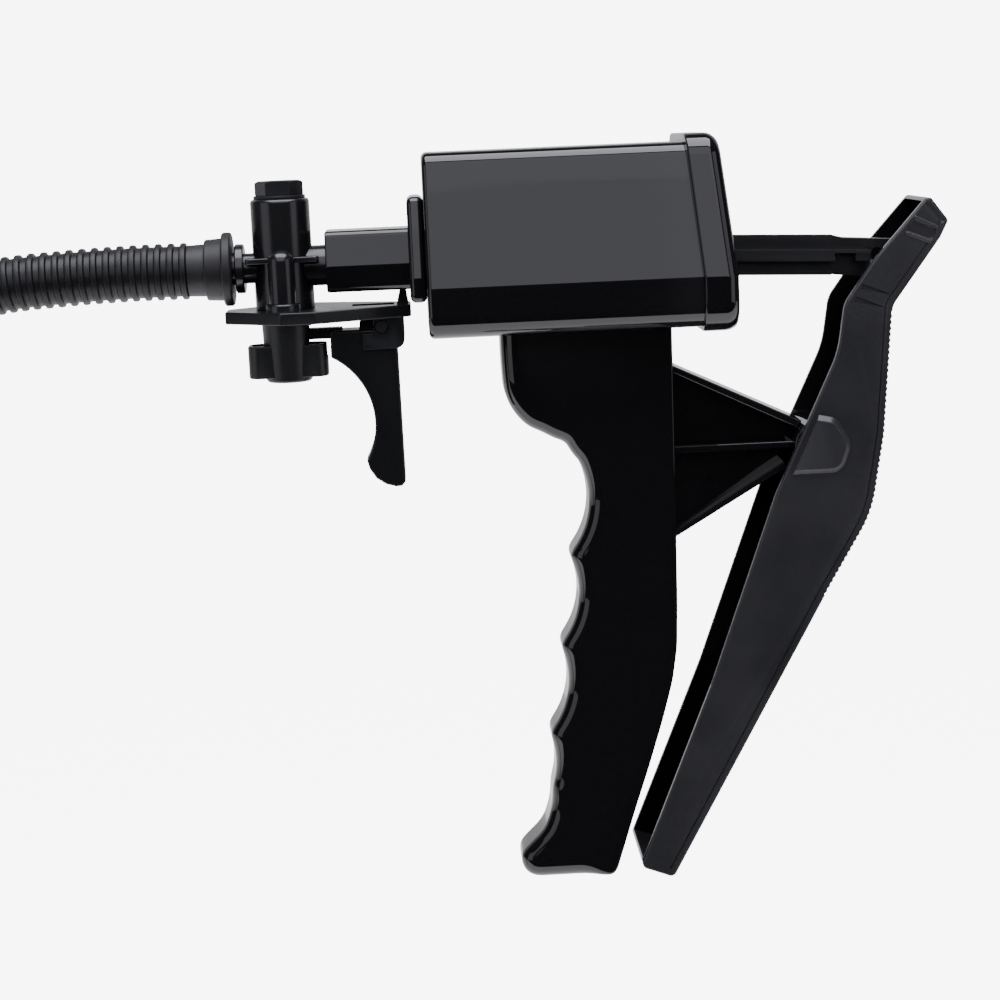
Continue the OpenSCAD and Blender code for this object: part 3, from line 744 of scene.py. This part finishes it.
def pad_blocks():
    """The raised pads over the pivot: broadly chamfered, and cut straight behind the front lip."""
    pad = [(44, 33.8, 1), (53.4, 31.8, 4), (57.2, 25.4, 5), (54.5, 18, 4), (36, 18, 1)]
    chamfer = [(0, -0.6), (0, 0.15), (0.15, 0.35), (1.15, 1.25), (1.45, 1.4)]
    behind_lip = [Vector(q) for q in [(49.5, 34), (70, 34), (70, 10), (38.2, 10)]]
    blocks = []
    for side in (-1, 1):
        rings = []
        for inset, out in chamfer:
            line = rounded(drawn_in(pad, inset), 8)
            rings.append([(p.x, side * (lever_half(PIVOT[1]) + out), p.y) for p in line])
        blocks.append(taken_back(shaped(skin(rings), "INTERSECT", prism(behind_lip, -20, 20))))
    return blocks


def ribbon(points, width):
    """A thin closed outline along an open line."""
    left, right = [], []
    for i, p in enumerate(points):
        along = (points[min(i + 1, len(points) - 1)] - points[max(i - 1, 0)]).normalized()
        normal = Vector((-along.y, along.x))
        left.append(p + normal * width / 2)
        right.append(p - normal * width / 2)
    return left + right[::-1]


def back_groove():
    """A fine line along the side walls, 2 mm in from the lever's back."""
    corners = [(x, z, max(1, r)) for x, z, r in drawn_in(LEVER_SIDE, 2)]
    line = rounded([(*corners[0][:2], 0)] + corners[1:6] + [(*corners[6][:2], 0)], LEVER_STEPS)
    return side_block(ribbon(line, 0.35), -0.3, 1)


def cross_groove(a, b, width):
    """A shallow groove across the wall that fades out towards b."""
    a, b = Vector(a), Vector(b)
    normal = Vector((-(b - a).y, (b - a).x)).normalized() * width / 2
    return side_block([a + normal, a - normal, b], -0.4, 1)


def make_lever():
    """The hollow lever with its pads, recesses, ridges and grooves. Its inside is smooth and glossy, and is
    coloured darker as painted shade in the hollow.
    """
    channel = prism(lever_channel(),
                    lambda z: -lever_half(z, LEVER_WALL), lambda z: lever_half(z, LEVER_WALL))
    pocket = [(71.5, 77, 0.9), (77.8, 74.4, 0.9), (78.9, 77.1, 0.9), (73.2, 80, 0.9)]
    inset_line = [(76.3, 83.2, 0.3), (76.9, 83.8, 0.3), (80.8, 79.2, 0.3), (80.2, 78.6, 0.3)]
    obj = shaped(lever_body(), "DIFFERENCE", channel)
    obj = shaped(obj, "UNION", *pad_blocks())
    cuts = sunk(pocket, 0.6) + sunk(inset_line, 0.4) + back_groove()
    cuts += cross_groove((60.1, 63.9), (67.2, 61.8), 1.6) + cross_groove((58.4, 60.9), (66.3, 58.4), 1.6)
    obj = shaped(obj, "DIFFERENCE", *cuts)
    obj = shaped(obj, "UNION", *ridge((73.4, 80.4), (79.3, 77.5)), *ridge((71.3, 76.6), (77.6, 74)))
    piece("lever_shell", obj, "squeeze_lever", "lever_plastic", ["lever"])
    # The faces inside the hollow get the glossier material, whose darker colour is painted shade there
    obj.data.materials.append(GLOSS)
    for face in obj.data.polygons:
        x, y, z = face.center / MM
        wall = abs(y) < lever_half(z, LEVER_WALL) + 0.1 and face.normal.y * y < -0.5 * abs(y)
        back = abs(y) < lever_half(z, LEVER_WALL) - 0.5 and abs(face.normal.y) < 0.5 and face.normal.x < 0
        face.material_index = 1 if wall or back else 0


# ---- Bracket ----

BRACKET_TOP = [(12.5, 46.6), (45.6, 30.6)]
BRACKET_LOW = [(12.5, 2.2), (41.5, 18.9)]
FLANGE = 1.8
FLANGE_HALF = 6.5
WEB_HALF = 1.5


def make_bracket():
    """The bracket that carries the lever: a web with ejector marks, three flanges, a foot and a boss."""
    web = [(-4, 44), (9, 47.5), *BRACKET_TOP, PIVOT, *reversed(BRACKET_LOW), (9, 1), (-4, 4)]
    (ax, az), (bx, bz) = BRACKET_TOP
    (cx, cz), (dx, dz) = BRACKET_LOW
    flanges = [[(ax, az), (bx, bz), (bx - 0.8, bz - FLANGE), (ax, az - FLANGE)],
               [(cx, cz), (dx, dz), (dx - 0.8, dz + FLANGE), (cx, cz + FLANGE)],
               [(12, 23.9), (46, 23.9), (46, 25.7), (12, 25.7)]]
    parts = [slab([(x, z, 0) for x, z in f], -FLANGE_HALF, FLANGE_HALF, 0.35) for f in flanges]
    foot = [(9, 1, 0), (11.5, 1, 0), (12.2, 47.5, 0), (9, 47.5, 0)]
    parts.append(slab(foot, -FLANGE_HALF, FLANGE_HALF, 0.3))
    boss_half = lever_half(PIVOT[1], LEVER_WALL) - 0.3
    at, across = (PIVOT[0], 0, PIVOT[1]), (0, 1, 0)
    parts.append(pipe(6.2, -boss_half, boss_half, at, across, 0.5))
    body = shaped(slab([(x, z, 0) for x, z in web], -WEB_HALF, WEB_HALF, 0.2), "UNION", *parts)
    marks = [pipe(2, side * WEB_HALF - 0.15, side * WEB_HALF + 0.15, (x, 0, z), across)
             for side in (-1, 1) for x, z in ((23.3, 36.3), (23.8, 16.3))]
    bore = pipe(2.5, -15, 15, at, across)
    piece("pivot_bracket_web", shaped(body, "DIFFERENCE", bore, *marks), "pump_body", "satin_plastic",
          ["pivot_bracket"], material=GLOSS)


# ---- Valve ----

VALVE_X = -81.8
PLATE_TOP = 64.2
POST_Y = 9.2
TRIGGER_PIN = (-58.2, 0, 59.1)
UP = (0, 0, 1)


def make_valve_body():
    """The upright column with its two side ports, a thin rib round it and the two screw posts."""
    top, port_at = 91.3, (VALVE_X, 0, PUMP_Z)
    column = lathe(rounded([(0, PLATE_TOP, 0), (7.3, PLATE_TOP, 0.3), (7.3, top, 0.9), (0, top, 0)], 5),
                   (VALVE_X, 0, 0), UP, 96)
    ports = [pipe(5, 0, 10.8, port_at, (1, 0, 0)), pipe(3.75, 0, 9.5, port_at, (-1, 0, 0))]
    rib = slab(oblong(-90.7, -72.7, -8.2, 8.2, 1), 75.8, 77.2, 0.3, "z")
    post = rounded([(0, 0, 0), (4.2, 0, 0), (4.2, 1.8, 0.5), (3.3, 2, 0), (3.3, 14.6, 2.4), (0, 14.6, 0)], 8)
    posts = [lathe(post, (VALVE_X, side * POST_Y, PLATE_TOP), UP, 64) for side in (-1, 1)]
    body = shaped(column, "UNION", rib, *ports, *posts)
    body = shaped(body, "DIFFERENCE", pipe(4.4, -1, 6, (VALVE_X, 0, PLATE_TOP), UP))
    piece("valve_body_shell", body, "pump_body", "gloss_shell", ["valve_body"], material=VALVE)


def make_hex_plug():
    """A hexagonal head, chamfered round its top, with a shallow dish in it."""
    low, high, radius, at = 92.1, 95.7, 6, (VALVE_X, 0, 0)
    corners = [(VALVE_X + radius * math.cos(math.tau * k / 6), radius * math.sin(math.tau * k / 6), 0.25)
               for k in range(6)]
    cone = lathe([(0, low), (6.05, low), (6.05, high - 0.5), (5.1, high), (0, high)], at, UP, 96)
    dish = lathe([(0, high + 1), (3.4, high + 1), (3.4, high - 0.5), (0, high - 0.7)], at, UP)
    head = shaped(slab(corners, low, high, 0.2, "z"), "INTERSECT", cone)
    piece("hex_plug_head", shaped(head, "DIFFERENCE", dish), "pump_body", "gloss_shell",
          ["hex_plug"], angle=20, material=VALVE)


def make_plate():
    """The valve plate with its slot, upright tab, clevis ears and countersunk screw holes."""
    plan = [(-50.7, 5.5, 0.8), (-73.9, 16, 1), (-82.3, 16, 1), (-96.6, 4.5, 0.8)]
    plan += [(x, -y, r) for x, y, r in reversed(plan)]
    ear = [(-62.9, 53.6, 0.4), (-52.6, 53.6, 2.2), (-52.6, 61.5, 0),
           (-60.2, 61.5, 0), (-60.2, 57.6, 0.4), (-62.9, 57.6, 0.4)]
    tab = [(-54.2, 64, 0), (-51.2, 64, 0), (-51.8, 68, 0), (-53.2, 68, 0)]
    ear_y = 5.9
    ears = [slab(ear, side * ear_y - 1, side * ear_y + 1, 0.3) for side in (-1, 1)]
    body = shaped(slab(plan, 61.2, PLATE_TOP, 0.35, "z"), "UNION", *ears, slab(tab, -3, 3, 0.25))
    stem_hole = pipe(2, -1, 9, (VALVE_X, 0, 60), UP)
    slot = slab(oblong(-65.3, -54.8, -3, 3), 60, 66, 0.05, "z")
    cuts = [stem_hole, slot, pipe(1.5, -9, 9, TRIGGER_PIN, (0, 1, 0))]
    screw_hole = [(0, 0), (2.7, 0), (2.7, 0.3), (1.2, 1.8), (1.2, 5), (0, 5)]
    pin_rim = [(0, -0.1), (1.4, -0.1), (1.95, 0.45), (1.95, 1), (0, 1)]
    for side in (-1, 1):
        cuts.append(lathe(screw_hole, (VALVE_X, side * POST_Y, 61.1), UP))
        cuts.append(lathe(pin_rim, (TRIGGER_PIN[0], side * 6.5, TRIGGER_PIN[2]), (0, side, 0)))
    piece("valve_plate_shell", shaped(body, "DIFFERENCE", *cuts), "pump_body", "satin_plastic",
          ["valve_plate"], material=PLATE)


def make_post_screws():
    """The two countersunk screws that hold the plate to the posts, with crossed slots in their heads."""
    profile = [(0, 0), (2.45, 0), (2.45, 0.2), (1.15, 1.5), (1.15, 9.5), (0, 9.5)]
    for name, side, nodes in (("plate_screw_front", -1, ["post_screws"]), ("plate_screw_rear", 1, [])):
        y = side * POST_Y
        slots = [slab(oblong(VALVE_X - a, VALVE_X + a, y - b, y + b), 61, 62.1, 0.05, "z")
                 for a, b in ((1.4, 0.3), (0.3, 1.4))]
        screw = shaped(lathe(profile, (VALVE_X, y, 61.35), UP), "DIFFERENCE", *slots)
        piece(name, screw, "pump_body", "steel", nodes)


def make_cage():
    """The spring cage under the plate: a round cup with two looped wings and a window for the arm."""
    at = (VALVE_X, 0, 0)
    cup = lathe(rounded([(0, 46, 0), (5.7, 46, 0.8), (6.2, 61.2, 0), (0, 61.2, 0)], 5), at, UP, 96)
    wing = oblong(VALVE_X - 9.9, VALVE_X + 9.9, -4.6, 4.6, 3)
    loop = shaped(slab(wing, 47.2, 55.3, 0.35, "z"), "DIFFERENCE", slab(drawn_in(wing, 1), 40, 60, 0.1, "z"))
    window = slab(oblong(VALVE_X, VALVE_X + 15, -2.8, 2.8), 52, 59.8, 0.1, "z")
    bore = lathe([(0, 40), (1, 40), (1, 47.6), (4.45, 47.6), (4.45, 70), (0, 70)], at, UP, 96)
    body = shaped(cup, "UNION", taken_back(loop))
    for hollow in (bore, window):
        body = shaped(body, "DIFFERENCE", hollow)
    piece("valve_cage_shell", body, "pump_body", "satin_plastic", ["valve_cage"])


def make_trigger():
    """The finger-curved blade with its tongue on the pin and the arm that works the stem."""
    centre, radius = Vector((-80, 35)), 19
    curve = [centre + radius * Vector((math.cos(math.radians(a)), math.sin(math.radians(a))))
             for a in range(62, -31, -4)]
    outline = [(-54.5, 58.4, 0), (-71, 58.4, 0.5)] + [(*p, 0) for p in curve]
    outline += [(-63, 23.4, 2), (-61.4, 20.9, 2), (-59, 19.3, 1),
                (-56.6, 18.6, 1), (-55, 18.7, 0.8), (-54.1, 19.8, 0.5)]
    tongue = [(-64, 57, 0), (-55.6, 57, 0), (-55.4, 59.4, 1),
              (-56.6, 61.6, 2), (-59, 61.6, 1), (-63.6, 60.4, 0.5)]
    arm = [(-83.2, 56.3, 0.4), (-68, 56.3, 0), (-68, 59, 0), (-83.2, 59, 0.4)]
    slot = [(-87, -2.2, 0), (-79.6, -2.2, 2.15), (-79.6, 2.2, 2.15), (-87, 2.2, 0)]
    blade = slab(outline, -4.6, 4.6, 0.6, steps=4)
    body = shaped(blade, "UNION", slab(tongue, -2.7, 2.7, 0.3), slab(arm, -2, 2, 0.3))
    pin_hole = pipe(1.55, -6, 6, TRIGGER_PIN, (0, 1, 0))
    body = shaped(body, "DIFFERENCE", slab(slot, 50, 62, 0.05, "z"), pin_hole)
    piece("trigger_shell", body, "release_trigger", "satin_plastic", ["trigger"], material=PLATE)


# ---- Rod ----

ROD_LEAN = 2.4
ROD_WEB = 2.7
PISTON_X = -20.5


def rod_bar(start, end, width, z0, z1, edge=0.25):
    """A bar along the leaning rod, from z0 to z1 over its middle line, which leaves the piston's middle."""
    half = width / 2
    bm = slab(oblong(-half, half, z0 + PUMP_Z, z1 + PUMP_Z), start, end, edge, "x")
    bmesh.ops.translate(bm, vec=(-PISTON_X, 0, -PUMP_Z), verts=bm.verts)
    turn = Matrix.Rotation(math.radians(ROD_LEAN), 3, "Y")
    bmesh.ops.rotate(bm, cent=(0, 0, 0), matrix=turn, verts=bm.verts)
    bmesh.ops.translate(bm, vec=(PISTON_X, 0, PUMP_Z), verts=bm.verts)
    return bm


def make_rod():
    """The cross-shaped rod, leaning down from its boss at the piston to its slotted eye."""
    eye = [(51.2, 76.4, 0), (51.2, 67, 0), (57, 66.2, 0), (61.9, 65.6, 2), (63.6, 64.96, 1),
           (67.7, 64.96, 2.2), (69.4, 67.8, 2), (71.4, 74.7, 0.5), (57.7, 75.6, 0.5), (55.2, 76.3, 0)]
    slot = oblong(64.6, 68.2, 65.96, 72.8, 1.7)
    top = ROD_WEB / 2
    piston_at, along = (PISTON_X, 0, PUMP_Z), (1, 0, 0)
    # No two of these solids share a face's plane, so that the joined one stays closed
    body = rod_bar(-13, 55.2, 10, -top, top, 0.5)
    for part in (rod_bar(-13.2, 55.05, ROD_WEB, -5, 5),
                 rod_bar(-13.4, 64.2, 9.9, top - 0.75, top - 0.03, 0.15),
                 rod_bar(60.2, 64.1, 9.8, 0.05 - top, top - 0.2),
                 slab(eye, 0.04 - top, top - 0.04, 0.25),
                 pipe(8, 5.5, 8.5, piston_at, along, 0.4)):
        body = shaped(body, "UNION", part)
    body = shaped(body, "DIFFERENCE", slab(slot, -6, 6, 0.05), pipe(1.5, 0, 14, piston_at, along))
    piece("piston_rod_cross", body, "piston_assembly", "satin_plastic", ["piston_rod"])


# ---- Springs ----

# Points a turn, and round the wire
COIL_STEPS = 24
WIRE_STEPS = 8


def make_spring(name, node, axis, radius, wire, turns):
    """A coil as long as its CAD node, in the node's place."""
    low, high = (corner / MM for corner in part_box(node))
    middle, axis = (low + high) / 2, Vector(axis)
    half = abs((high - low).dot(axis)) / 2
    side = axis.orthogonal().normalized()
    other = axis.cross(side)
    steps = COIL_STEPS * turns
    angles = [math.tau * k / WIRE_STEPS for k in range(WIRE_STEPS)]
    rings = []
    for i in range(steps + 1):
        angle = math.tau * turns * i / steps
        out = math.cos(angle) * side + math.sin(angle) * other
        centre = middle + axis * (half - wire) * (2 * i / steps - 1) + out * radius
        rings.append([centre + wire * (math.cos(a) * out + math.sin(a) * axis) for a in angles])
    obj = plain_object(name, scaled(skin(rings)))
    shade(obj, 60)
    paint(obj, STEEL)
    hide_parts(node)
    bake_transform(obj)


def make_springs():
    """The coil under the valve stem's collar and the one behind the piston."""
    make_spring("valve_spring_coil", "valve_spring", UP, 2.8, 0.3, 5)
    make_spring("return_spring_coil", "return_spring", (-1, 0, 0), 9, 0.7, 7)


# ---- Hose ----

# The hose's middle line in metres, the same as in part.scad
HOSE_ROUTE = [(-0.1055, 0, 0.0745), (-0.120, 0, 0.0745), (-0.136, 0, 0.074), (-0.152, 0, 0.0728),
              (-0.170, 0, 0.0692), (-0.187, 0, 0.0624), (-0.201, 0, 0.0524), (-0.212, 0, 0.0396),
              (-0.220, 0, 0.0244), (-0.225, 0, 0.0076), (-0.227, 0, -0.010), (-0.228, 0, -0.030),
              (-0.228, 0, -0.060), (-0.228, 0, -0.090), (-0.228, 0, -0.120), (-0.228, 0, -0.150),
              (-0.228, 0, -0.180), (-0.228, 0, -0.204)]
HOSE_RADIUS = 7 * MM
RIB_PITCH = 3.1 * MM
# One rib and the valley after it: how high each ring stands, from 0 in the valley to 1 on the rib
RIB_SHAPE = [0.85, 1, 1, 1, 0.85, 0, 0, 0, 0, 0]
RIB_DEPTH = 0.75 * MM
HOSE_STEPS = 40
# Where the cuff and the barb start, and the collar on the barb, along X
CUFF_X = -105.5
COLLAR_X = -100.9


def make_hose():
    """The ribbed hose along its route, with its cuff at the pump and its connector at the far end."""
    centres, length = smooth_route(HOSE_ROUTE, RIB_PITCH / len(RIB_SHAPE))
    side = Vector((0, 1, 0))
    angles = [math.tau * k / HOSE_STEPS for k in range(HOSE_STEPS)]
    rings = []
    for i, at in enumerate(centres):
        along = (centres[min(i + 1, len(centres) - 1)] - centres[max(i - 1, 0)]).normalized()
        up = along.cross(side)
        radius = HOSE_RADIUS - RIB_DEPTH * (1 - RIB_SHAPE[i % len(RIB_SHAPE)])
        rings.append([at + radius * (math.cos(a) * side + math.sin(a) * up) for a in angles])
    hose = plain_object("ribbed_hose", skin(rings))
    shade(hose, 35)
    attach(hose, "pump_body")
    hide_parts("hose")
    paint(hose, HOSE)
    make_hose_end()
    make_hose_cuff()


def make_hose_cuff():
    """The smooth round end of the hose."""
    profile = [(0, 0, 0), (6.3, 0, 0.5), (6.5, 4.6, 0), (4.2, 4.6, 0), (0, 4.6, 0)]
    return piece("hose_cuff_ring", lathe(rounded(profile, 4), (CUFF_X, 0, PUMP_Z), (1, 0, 0)),
                 "pump_body", "rubber", ["hose_cuff"])


def make_hose_collar():
    """The rubber sleeve round the barb, with a flange towards the valve."""
    profile = [(4, 0, 0), (7.5, 0, 0.5), (7.75, 4.3, 0), (9.1, 4.3, 0.6), (9.1, 6.7, 0.6), (4, 6.7, 0)]
    piece("hose_collar_ring", lathe(rounded(profile, 4), (COLLAR_X, 0, PUMP_Z), (1, 0, 0), 96), "pump_body",
          "rubber", ["hose_collar"])


def make_hose_barb():
    """The tube that the hose sits on, with a ring beside the collar's flange."""
    profile = [(0, 0, 0), (4, 0, 0), (4, 12, 0), (6.1, 12, 0.4), (6.1, 14.2, 0.4), (0, 14.2, 0)]
    piece("hose_barb_ring", lathe(rounded(profile, 4), (CUFF_X, 0, PUMP_Z), (1, 0, 0), 96), "pump_body",
          "satin_plastic", ["hose_barb"], material=VALVE)


def make_hose_end():
    """The connector at the hose's far end: a gripped sleeve and a tapered spigot with its bore."""
    at = Vector(HOSE_ROUTE[-1]) / MM
    sleeve = [(0, 0, 0), (8.1, 0, 0.8), (8.5, 2, 0.4), (8.5, 10, 0.4), (8.1, 12, 0.8), (6, 12, 0)]
    spigot = [(6, 15, 0.4), (5.4, 15, 0), (5.2, 17.5, 0), (4.9, 17.9, 0), (5, 21.5, 0), (4.7, 21.9, 0),
              (4.8, 25, 0), (4.4, 29, 0.5)]
    bore = [(2.5, 29, 0.3), (2.5, 14, 0), (0, 14, 0)]
    flutes, count = [], 18
    for k in range(count):
        flute = prism(rounded(oblong(-0.8, 0.8, -10.6, -1.4, 0.3), 3), 7.9, 10)
        turn = Matrix.Rotation(math.tau * k / count, 3, "Z")
        bmesh.ops.rotate(flute, cent=(0, 0, 0), matrix=turn, verts=flute.verts)
        bmesh.ops.translate(flute, vec=at, verts=flute.verts)
        flutes.append(flute)
    body = shaped(lathe(rounded(sleeve + spigot + bore, 3), at, (0, 0, -1)), "DIFFERENCE", *flutes)
    return piece("hose_connector", body, "pump_body", "satin_plastic", ["hose_end"])


# ---- Stage and light ----

# How bright the paper and the world look to the camera itself, and the world as light on the object
PAPER_WHITE = 7
WORLD_GLOW = 0.03
# How far below the object the paper lies, and where its floor ends and its wall begins
FLOOR_GAP = 0.12
WALL_Y = 1.6
# How far the front softboxes stand from the housing's middle, in metres
FRONT_REACH = 1.4


def seen_white(tree, target, glow):
    """Sets a strength socket: `glow` as light on the object, and clean white to the camera."""
    seen = tree.nodes.new("ShaderNodeLightPath")
    strength = tree.nodes.new("ShaderNodeMapRange")
    strength.inputs["To Min"].default_value = glow
    strength.inputs["To Max"].default_value = PAPER_WHITE
    tree.links.new(seen.outputs["Is Camera Ray"], strength.inputs["Value"])
    tree.links.new(strength.outputs["Result"], target)


def paper(name, glow):
    """White paper that glows for the object's reflections and is clean white behind it."""
    material = bpy.data.materials.new(name)
    material.use_nodes = True
    shader = material.node_tree.nodes["Principled BSDF"]
    shader.inputs["Base Color"].default_value = (0.9, 0.9, 0.9, 1)
    shader.inputs["Roughness"].default_value = 1
    shader.inputs["Emission Color"].default_value = (1, 1, 1, 1)
    seen_white(material.node_tree, shader.inputs["Emission Strength"], glow)
    return material


def make_stage():
    """A sweep of paper: a floor well below the object that curves up into a wall behind it."""
    floor_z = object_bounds()[0].z - FLOOR_GAP
    profile = [(-0.35, 0), (WALL_Y, 0), (1.9, 0.04), (2.15, 0.15), (2.3, 0.35), (2.35, 0.7), (2.35, 3)]
    bm = bmesh.new()
    left, right = [[bm.verts.new((x, y, floor_z + z)) for y, z in profile] for x in (-4, 4)]
    for k in range(len(profile) - 1):
        bm.faces.new((left[k], right[k], right[k + 1], left[k + 1]))
    mesh = bpy.data.meshes.new("backdrop")
    bm.to_mesh(mesh)
    bm.free()
    mesh.materials.append(paper("floor_paper", 0.9))
    mesh.materials.append(paper("wall_paper", 0.35))
    for face in mesh.polygons:
        face.use_smooth = True
        face.material_index = 1 if face.center.y > WALL_Y else 0
    backdrop = bpy.data.objects.new("backdrop", mesh)
    bpy.context.scene.collection.objects.link(backdrop)


def softbox(name, at, aim, width, height, radiance):
    """A rectangular light of a given surface brightness, whatever its size."""
    light = bpy.data.lights.new(name, "AREA")
    light.color = (0.96, 0.96, 1.04)
    light.shape = "RECTANGLE"
    light.size, light.size_y = width, height
    light.energy = radiance * math.pi * width * height
    obj = bpy.data.objects.new(name, light)
    bpy.context.scene.collection.objects.link(obj)
    obj.location = at
    obj.rotation_euler = (Vector(aim) - Vector(at)).to_track_quat("-Z", "Y").to_euler()


def make_lights():
    """Softboxes: two in front, one above the other, one overhead and one at each side."""
    low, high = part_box("housing")
    middle = (low + high) / 2
    front = (("front_low_softbox", 9, 17.9, 1.72), ("front_high_softbox", 17.9, 50, 1.98))
    for name, low_elevation, high_elevation, radiance in front:
        elevation = math.radians((low_elevation + high_elevation) / 2)
        height = 2 * FRONT_REACH * math.tan(math.radians(high_elevation - low_elevation) / 2)
        at = middle + FRONT_REACH * Vector((0, -math.cos(elevation), math.sin(elevation)))
        softbox(name, at, middle, 1.7, height, radiance)
    softbox("top_softbox", middle + Vector((0, -0.2, 1.1)), middle, 1.4, 1.0, 8)
    for name, x in (("left_softbox", -1.2), ("right_softbox", 1.2)):
        softbox(name, middle + Vector((x, -0.7, 0.15)), middle, 0.85, 0.9, 1.1)
    world = bpy.data.worlds.new("studio")
    world.use_nodes = True
    background = world.node_tree.nodes["Background"]
    background.inputs["Color"].default_value = (1, 1, 1, 1)
    seen_white(world.node_tree, background.inputs["Strength"], WORLD_GLOW)
    bpy.context.scene.world = world


make_camera()
make_hose()
for make in (make_housing, make_rear_cap, make_front_neck, make_grip, make_lever, make_bracket,
             make_valve_body, make_hex_plug, make_plate, make_post_screws, make_cage, make_trigger,
             make_rod, make_hose_collar, make_hose_barb, make_springs):
    make()
paint_nodes()
make_stage()
make_lights()
